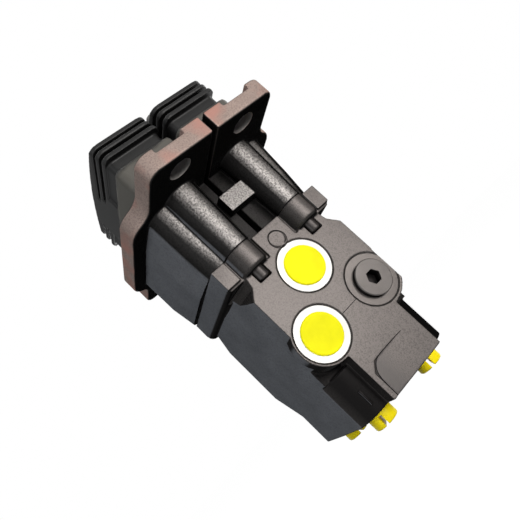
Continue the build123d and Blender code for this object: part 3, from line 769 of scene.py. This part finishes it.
for node_name, node in nodes.items():
    finish = finish_for(node_name)
    if finish:
        wear(node, finish)
for node_name, width in VISIBLE_EDGES.items():
    node = nodes[node_name]
    weld = node.modifiers.new("weld", "WELD")
    weld.merge_threshold = 0.002 * MM
    bevel = node.modifiers.new("edge radius", "BEVEL")
    bevel.width = width * MM
    bevel.segments = 2
    bevel.limit_method = "ANGLE"
    bevel.angle_limit = math.radians(40)
    bevel.use_clamp_overlap = True
    shade_round(node)
    flat = node.modifiers.new("flat faces stay flat", "WEIGHTED_NORMAL")
    flat.weight = 100
    flat.keep_sharp = True

# %% [markdown]
# ## The castings
#
# The block and the two covers are sand castings. A casting has no sharp edge anywhere: its
# outer edges are round and its valleys are filled. A bevel leaves the valleys sharp, and it
# breaks where three drafted walls meet. So each welded copy is remeshed with small voxels,
# smoothed a little, which rounds edges and valleys alike, and thinned out again where it is
# flat.

# %% Cast skin from a solid
VOXEL = 0.5 * MM


def cast_skin(piece, triangles, smoothing=2):
    """Remeshes a closed piece with round edges and thins it to about a number of triangles."""
    remesh = piece.modifiers.new("voxels", "REMESH")
    remesh.mode = "VOXEL"
    remesh.voxel_size = VOXEL
    remesh.use_smooth_shade = True
    soften = piece.modifiers.new("soften", "SMOOTH")
    soften.factor = 0.5
    soften.iterations = smoothing
    apply_modifiers(piece)
    thin = piece.modifiers.new("thin out", "DECIMATE")
    thin.ratio = triangles / (2 * len(piece.data.polygons))
    apply_modifiers(piece)
    only(piece)
    bpy.ops.object.shade_smooth()
    print(piece.name, len(piece.data.polygons), "faces")


# %% [markdown]
# ### The casing
#
# Two corners differ from the solid. The boss of the plugged port is cut flat, in line with the
# plate beside it, and the corner of the run-out pocket is filled, because the cutter left it
# round.

# %% The casing
POCKET_CORNER = Vector((-18.5, -45.0, -135.0)) * MM
CORNER_FILL = (4.0 * MM, 1.6 * MM, 7.4 * MM)
CORNER_SHIFT = Vector((1.12, 0.8, -1.12)) * MM
BOSS_FLAT_MIDDLE = Vector((40.4, -41.5, -106.0)) * MM
BOSS_FLAT_SIZE = (8.0 * MM, 9.0 * MM, 23.0 * MM)


def flatten_boss(piece):
    """Cuts a piece off in line with the plate, beside the plugged port."""
    combine(piece, block("flat", BOSS_FLAT_MIDDLE, BOSS_FLAT_SIZE), "DIFFERENCE")


casing = merged_copy("casing", "cast_casing")
wear(casing, cast_iron)
flatten_boss(casing)
fill = block("corner fill", (0, 0, 0), CORNER_FILL)
fill.rotation_euler.y = math.radians(45)
fill.location = POCKET_CORNER + CORNER_SHIFT
settle(fill)
combine(casing, fill, "UNION")
cast_skin(casing, 120000)
stand_in(casing, "housing", "casing")

# %% The covers
for side_name in SIDES:
    cover = merged_copy(f"{side_name}_cover", f"cast_{side_name}_cover")
    wear(cover, cover_iron)
    cast_skin(cover, 80000)
    stand_in(cover, "housing", f"{side_name}_cover")

# %% [markdown]
# ## Machined seats
#
# Round each port the cast face is cut away to a bright ring, flat and crisp against the soft
# casting. Each seat is its own thin washer, which lies in the shallow pocket of the casting.
# It starts as a filled circle, gets its hole by an inset, and its thickness by Solidify.

# %% Rings round the ports
FRONT = -45.0 * MM
SEAT_DEPTH = 0.8 * MM
PORTS = {
    "pressure": (0.0, -75.0 * MM, 8.6 * MM, machined),
    "tank": (-22.5 * MM, -106.7 * MM, 8.6 * MM, machined),
    "plugged": (22.2 * MM, -106.1 * MM, 10.2 * MM, oiled_seat),
}
SEAT_RADIUS = 15.4 * MM
SPOTFACE = 16.4 * MM


def flat_ring(name, x, z, inner, outer, height, finish):
    """A thin washer on the front face, its top so much above the floor of the spotface."""
    bpy.ops.object.select_all(action="DESELECT")
    bpy.ops.mesh.primitive_circle_add(
        vertices=96,
        radius=outer,
        fill_type="NGON",
        location=(x, FRONT + SEAT_DEPTH - height, z),
        rotation=(math.radians(90), 0, 0),
    )
    ring = bpy.context.object
    ring.name = name
    in_edit_mode(
        ring,
        lambda: bpy.ops.mesh.select_all(action="SELECT"),
        lambda: bpy.ops.mesh.inset(thickness=outer - inner),
        lambda: bpy.ops.mesh.delete(type="FACE"),
    )
    settle(ring)
    wall = ring.modifiers.new("thickness", "SOLIDIFY")
    wall.thickness = 0.5 * MM
    wall.offset = -1.0
    edge = ring.modifiers.new("broken edge", "BEVEL")
    edge.width = 0.08 * MM
    edge.segments = 1
    apply_modifiers(ring)
    shade_round(ring)
    wear(ring, finish)
    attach(ring, "housing")
    return ring


for port_name, (x, z, hole, finish) in PORTS.items():
    ring = flat_ring(f"seat_{port_name}", x, z, hole, SEAT_RADIUS, 0.25 * MM, finish)
    # the black ring round each seat is painted shade, where the wall of the spotface lies in shadow
    outline = flat_ring(f"shade_ring_{port_name}", x, z, SEAT_RADIUS, SPOTFACE, 0.15 * MM, shade_line)
    if port_name == "plugged":
        flatten_boss(ring)
        flatten_boss(outline)
    print(ring.name, "and", outline.name, "in the pocket of the casting")

# %% [markdown]
# ## Transport plugs below
#
# The four plugs under the block have a deep slot for a coin or a screwdriver, and each was
# screwed in to its own angle. The slot of the front right one lies along the line of sight.

# %% Plugs with deep slots
COLLAR_RADIUS, COLLAR_HEIGHT = 8.7 * MM, 1.0 * MM
HEAD_RADIUS, HEAD_HEIGHT = 7.8 * MM, 8.2 * MM
SLOT_WIDTH, SLOT_DEPTH = 2.4 * MM, 6.6 * MM
SLOT_TURNS = {
    ("left", "front"): -33,
    ("right", "front"): -26,
    ("left", "rear"): -10,
    ("right", "rear"): -52,
}


def drum(name, radius, low, high, x, y):
    """An upright cylinder between two heights."""
    bpy.ops.object.select_all(action="DESELECT")
    bpy.ops.mesh.primitive_cylinder_add(
        vertices=96, radius=radius, depth=high - low, location=(x, y, (low + high) / 2)
    )
    piece = bpy.context.object
    piece.name = name
    settle(piece)
    return piece


plugs_low, plugs_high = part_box("work_port_plugs")
work_plugs = []
for (side_name, end_name), turn in SLOT_TURNS.items():
    x = plugs_high.x - COLLAR_RADIUS if side_name == "right" else plugs_low.x + COLLAR_RADIUS
    y = plugs_low.y + COLLAR_RADIUS if end_name == "front" else plugs_high.y - COLLAR_RADIUS
    seat = plugs_low.z + HEAD_HEIGHT
    plug = drum(f"plug_{side_name}_{end_name}", HEAD_RADIUS, plugs_low.z, seat + 0.2 * MM, x, y)
    soften_edges(plug, 1.2 * MM, 4)
    slot = block("slot", (0, 0, 0), (SLOT_WIDTH, 4 * HEAD_RADIUS, 2 * SLOT_DEPTH))
    slot.location = (x, y, plugs_low.z)
    slot.rotation_euler.z = math.radians(turn)
    settle(slot)
    combine(plug, slot, "DIFFERENCE")
    collar = drum("collar", COLLAR_RADIUS, seat, seat + COLLAR_HEIGHT, x, y)
    soften_edges(collar, 0.25 * MM)
    combine(plug, collar, "UNION")
    soften_edges(plug, 0.2 * MM, 2)
    shade_round(plug)
    wear(plug, yellow_plug)
    stand_in(plug, "housing", "work_port_plugs")
    work_plugs.append(plug)
print(len(work_plugs), "transport plugs below")

# %% [markdown]
# ## Thin lines on the front
#
# A shallow joint line runs between the tank port and the plugged port, another one follows
# the edge of the run-out pocket, and a ring frames a small disc. All are fine dark steps in
# the photo, drawn as thin beads whose black is painted shade. A plain raised bar stands on
# the boss at the lower left.
#
# A line is a curve with a round section, and it becomes a mesh at once. The springs further
# down are drawn in the same way.

# %% Round wire along points
def drawn_wire(name, points, radius, roundness, kind="POLY"):
    """A mesh of round wire along a list of points, with closed ends."""
    data = bpy.data.curves.new(name, "CURVE")
    data.dimensions = "3D"
    data.bevel_depth = radius
    data.bevel_resolution = roundness
    data.use_fill_caps = True
    run = data.splines.new(kind)
    run.points.add(len(points) - 1)
    for point, place in zip(run.points, points):
        point.co = (*place, 1)
    if kind == "NURBS":
        run.order_u = 3
        run.use_endpoint_u = True
    wire = bpy.data.objects.new(name, data)
    bpy.context.scene.collection.objects.link(wire)
    only(wire)
    bpy.ops.object.convert(target="MESH")
    bpy.ops.object.shade_smooth()
    return wire


# %% Joint lines in painted shade
LINE_RADIUS = 0.22 * MM
LINE_Y = FRONT + 0.05 * MM
BAR_PLACE = Vector((-27.6, -35.6, -145.1)) * MM
BAR_SIZE = (1.5 * MM, 1.0 * MM, 9.6 * MM)
DISC = (0.0, -54.5 * MM, 5.4 * MM)
PORT_LINE = ((-6.2, -107.4), (6.2, -107.4))
POCKET_LINE = (
    (10.0, -135.6),
    (-6.0, -134.9),
    (-12.5, -135.4),
    (-17.0, -139.5),
    (-18.4, -146.0),
    (-18.4, -155.0),
)


def fine_line(name, points, kind):
    """A thin bead, black with painted shade, that lies half sunk in the front face, as a step there
    looks.
    """
    places = [(x * MM, LINE_Y, z * MM) for x, z in points]
    line = drawn_wire(name, places, LINE_RADIUS, 2, kind)
    wear(line, shade_line)
    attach(line, "housing")


def fine_circle(name, x, z, radius):
    """A closed bead of the same size."""
    bpy.ops.object.select_all(action="DESELECT")
    bpy.ops.mesh.primitive_torus_add(
        major_radius=radius,
        minor_radius=LINE_RADIUS,
        major_segments=72,
        minor_segments=10,
        location=(x, LINE_Y, z),
        rotation=(math.radians(90), 0, 0),
    )
    ring = bpy.context.object
    ring.name = name
    settle(ring)
    bpy.ops.object.shade_smooth()
    wear(ring, shade_line)
    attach(ring, "housing")


bar = block("boss_bar", BAR_PLACE, BAR_SIZE)
soften_edges(bar, 0.3 * MM)
shade_round(bar)
wear(bar, cast_iron)
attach(bar, "housing")
fine_circle("disc_line", *DISC)
fine_line("port_line", PORT_LINE, "POLY")
fine_line("pocket_line", POCKET_LINE, "NURBS")

# %% [markdown]
# ## The springs inside
#
# Each push rod works against a return spring and a damping spring, and a small metering
# spring holds the spool. The CAD model keeps each one as the plain sleeve that its coil fills.
# Here the wire is drawn along a helix whose last turns lie closed on each other, as on a real
# spring. The Screw modifier could wind it too, but with the same pitch all the way. A coil
# rides on its rod.

# %% Coil springs
WIRE = 1.1 * MM
CLOSED_TURNS = 1.5
OPEN_PITCH = 2.7 * MM
STEPS_PER_TURN = 20


def helix(centre, radius, low, high):
    """Points along the wire's middle, closed at both ends and open between."""
    closed_rise = CLOSED_TURNS * WIRE
    open_rise = high - low - WIRE - 2 * closed_rise
    open_turns = round(open_rise / OPEN_PITCH)
    closed = (CLOSED_TURNS, WIRE)
    height, turn, points = low + WIRE / 2, 0.0, []
    for turns, pitch in (closed, (open_turns, open_rise / open_turns), closed):
        for _ in range(round(turns * STEPS_PER_TURN)):
            across, along = math.cos(math.tau * turn), math.sin(math.tau * turn)
            points.append(centre + Vector((radius * across, radius * along, height)))
            turn += 1 / STEPS_PER_TURN
            height += pitch / STEPS_PER_TURN
    return points


def coil_spring(name, node):
    """Round wire wound in the place of a CAD sleeve."""
    low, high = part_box(node)
    middle = (low + high) / 2
    points = helix(Vector((middle.x, middle.y, 0)), (high.x - low.x - WIRE) / 2, low.z, high.z)
    spring = drawn_wire(name, points, WIRE / 2, 1)
    wear(spring, spring_steel)
    return spring


for side_name in SIDES:
    for end_name in ENDS:
        rod = f"{side_name}_{end_name}_rod"
        for kind in ("damping", "return", "metering"):
            node = f"{side_name}_{end_name}_{kind}_spring"
            low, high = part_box(node)
            spring = coil_spring(f"{side_name}_{end_name}_{kind}_coil", node)
            stand_in(spring, rod, node)
            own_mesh(spring)
print("12 coil springs,", len(spring.data.polygons), "faces in the last one")

# %% [markdown]
# ## The bellows
#
# Each bellows is one moulded shell: a smooth skirt and three thick ribs with rounded lips,
# with deep folds between them that run out on the sides. The solid has two of the folds. The
# lowest one is cut from a welded copy, whose wall is thickened there first, and the same
# remesh as on the castings rounds every lip.

# %% Bellows with a third fold and rounded lips
FOLD_BOTTOM = bellows_low.z + 17.6 * MM
FOLD_TOP = bellows_low.z + 25.8 * MM
FOLD_FRONT_END, FOLD_REAR_END = -14.0 * MM, 30.0 * MM
FOLD_DEPTH_ENDS, FOLD_DEPTH_SIDES = 4.2 * MM, 1.6 * MM
RIB_HALF_LENGTH = 53.0 * MM
LINER_LENGTH = 8.0 * MM


def third_fold(name, low, high):
    """The ring that the lowest fold takes away, open over the middle of each long side."""
    centre = (low + high) / 2
    centre.z = (FOLD_BOTTOM + FOLD_TOP) / 2
    tall = FOLD_TOP - FOLD_BOTTOM
    ring = block(name, centre, (2 * (high.x - low.x), 4 * RIB_HALF_LENGTH, tall))
    rib_width = high.x - low.x - 1.0 * MM
    core_size = (rib_width - 2 * FOLD_DEPTH_SIDES, 2 * (RIB_HALF_LENGTH - FOLD_DEPTH_ENDS), 2 * tall)
    combine(ring, block("core", centre, core_size, 4.0 * MM), "DIFFERENCE")
    run = FOLD_REAR_END - FOLD_FRONT_END
    stretch = Vector((centre.x, (FOLD_FRONT_END + FOLD_REAR_END) / 2, centre.z))
    combine(ring, block("stretch", stretch, (4 * rib_width, run, 2 * tall)), "DIFFERENCE")
    return ring


for side_name, side in SIDES.items():
    low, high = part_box(f"{side_name}_bellows")
    bellows = merged_copy(f"{side_name}_bellows", f"rubber_{side_name}_bellows")
    wear(bellows, bellows_rubber)
    for end in ENDS.values():
        liner = Vector(((low.x + high.x) / 2, end * (RIB_HALF_LENGTH - LINER_LENGTH / 2), 0))
        liner.z = (low.z + FOLD_TOP) / 2 + 1.0 * MM
        size = (high.x - low.x - 4 * MM, LINER_LENGTH - 1 * MM, FOLD_TOP - low.z)
        combine(bellows, block("liner", liner, size), "UNION")
    combine(bellows, third_fold("third fold", low, high), "DIFFERENCE")
    cast_skin(bellows, 60000, 6)
    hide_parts(f"{side_name}_bellows")
    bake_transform(bellows)

# %% [markdown]
# ## Studio
#
# The photograph is a cut-out on pure white. The floor and the world are white to the camera
# and to reflections, while soft lamps alone light the object. Three keys stand in a row in
# front and spread the highlight over the round columns. Weaker lamps stand round the valve,
# so that the black sides stay dark and can still be read.

# %% Floor and world
def light_path_sum(tree, link):
    """1 for camera, glossy and transmission rays, 0 for the rest."""
    path = tree.new("ShaderNodeLightPath")
    first = tree.new("ShaderNodeMath")
    first.operation = "MAXIMUM"
    second = tree.new("ShaderNodeMath")
    second.operation = "MAXIMUM"
    link.new(path.outputs["Is Camera Ray"], first.inputs[0])
    link.new(path.outputs["Is Glossy Ray"], first.inputs[1])
    link.new(first.outputs["Value"], second.inputs[0])
    link.new(path.outputs["Is Transmission Ray"], second.inputs[1])
    return second.outputs["Value"]


FLOOR_SIZE = 12.0
FLOOR_DROP = 0.35
bpy.ops.object.select_all(action="DESELECT")
bpy.ops.mesh.primitive_plane_add(size=FLOOR_SIZE, location=(0, 0, cad_bounds[0].z - FLOOR_DROP))
floor = bpy.context.object
floor.name = "studio_floor"
settle(floor)
floor_paint = bpy.data.materials.new("studio floor")
floor_paint.use_nodes = True
tree, link = floor_paint.node_tree.nodes, floor_paint.node_tree.links
paint = shader_of(floor_paint)
paint.inputs["Base Color"].default_value = (0.8, 0.8, 0.8, 1)
paint.inputs["Roughness"].default_value = 1.0
paint.inputs["Specular IOR Level"].default_value = 0.0
paint.inputs["Emission Color"].default_value = (1, 1, 1, 1)
paint.inputs["Emission Strength"].default_value = 0.97
dark = tree.new("ShaderNodeBsdfDiffuse")
dark.inputs["Color"].default_value = (0.04, 0.04, 0.04, 1)
chooser = tree.new("ShaderNodeMixShader")
link.new(light_path_sum(tree, link), chooser.inputs["Fac"])
link.new(dark.outputs["BSDF"], chooser.inputs[1])
link.new(paint.outputs["BSDF"], chooser.inputs[2])
link.new(chooser.outputs["Shader"], tree["Material Output"].inputs["Surface"])
floor.data.materials.append(floor_paint)

world = bpy.data.worlds.new("studio")
bpy.context.scene.world = world
world.use_nodes = True
tree, link = world.node_tree.nodes, world.node_tree.links
sky = tree["Background"]
sky.inputs["Color"].default_value = (1, 1, 1, 1)
ambient = tree.new("ShaderNodeMapRange")
ambient.inputs["To Min"].default_value = 0.03
ambient.inputs["To Max"].default_value = 1.0
link.new(light_path_sum(tree, link), ambient.inputs["Value"])
link.new(ambient.outputs["Result"], sky.inputs["Strength"])


# %% Lamps
middle = (cad_bounds[0] + cad_bounds[1]) / 2


def softbox(name, direction, distance, size, power, tint=(1, 1, 1)):
    """A square lamp that faces the middle of the valve."""
    towards = Vector(direction).normalized()
    bpy.ops.object.select_all(action="DESELECT")
    bpy.ops.object.light_add(type="AREA", location=middle + towards * distance)
    lamp = bpy.context.object
    lamp.name = name
    lamp.rotation_euler = towards.to_track_quat("Z", "Y").to_euler()
    lamp.data.size = size
    lamp.data.energy = power
    lamp.data.color = tint


softbox("front key", (0.38, -0.92, 0.03), 0.9, 0.3, 5.0, (1, 0.975, 0.945))
softbox("camera key", (0.05, -0.99, 0.06), 0.9, 0.3, 3.0, (1, 0.985, 0.97))
softbox("left key", (-0.3, -0.95, 0.0), 0.9, 0.3, 1.5, (1, 0.985, 0.97))
softbox("left fill", (-1, -0.3, 0.15), 1.0, 0.7, 4.0, (0.94, 0.97, 1))
softbox("right fill", (1, 0.1, 0.2), 1.0, 0.5, 4.0)
softbox("back fill", (0.2, 1, 0.2), 1.0, 0.5, 5.0)
softbox("top fill", (0, 0.1, 1), 1.0, 0.5, 4.0)
softbox("low fill", (0, 0, -1), 1.0, 0.8, 0.3)

# %% [markdown]
# ## Camera
#
# The camera's place and turn were measured against the photograph, from ports, holes and
# edges whose real sizes are known. It looks up at the valve from the front left, and it is
# rolled, so the block points to the lower right.

# %% Camera
eye = Vector((-137.8, -300.2, -102.1)) * MM
right = Vector((0.6698, -0.1899, -0.7179))
ahead = Vector((0.4237, 0.8917, 0.1594)).normalized()
right = (right - ahead * right.dot(ahead)).normalized()
up = right.cross(ahead)
turn = Matrix((right, up, -ahead)).transposed()
lens_data = bpy.data.cameras.new("camera")
camera = bpy.data.objects.new("camera", lens_data)
bpy.context.scene.collection.objects.link(camera)
camera.matrix_world = Matrix.Translation(eye) @ turn.to_4x4()
lens_data.sensor_width = 36.0
lens_data.lens = 37.14
lens_data.clip_start = 0.01
bpy.context.scene.camera = camera
bpy.context.scene.view_settings.view_transform = "Standard"

# %% Update the view layer
bpy.context.view_layer.update()
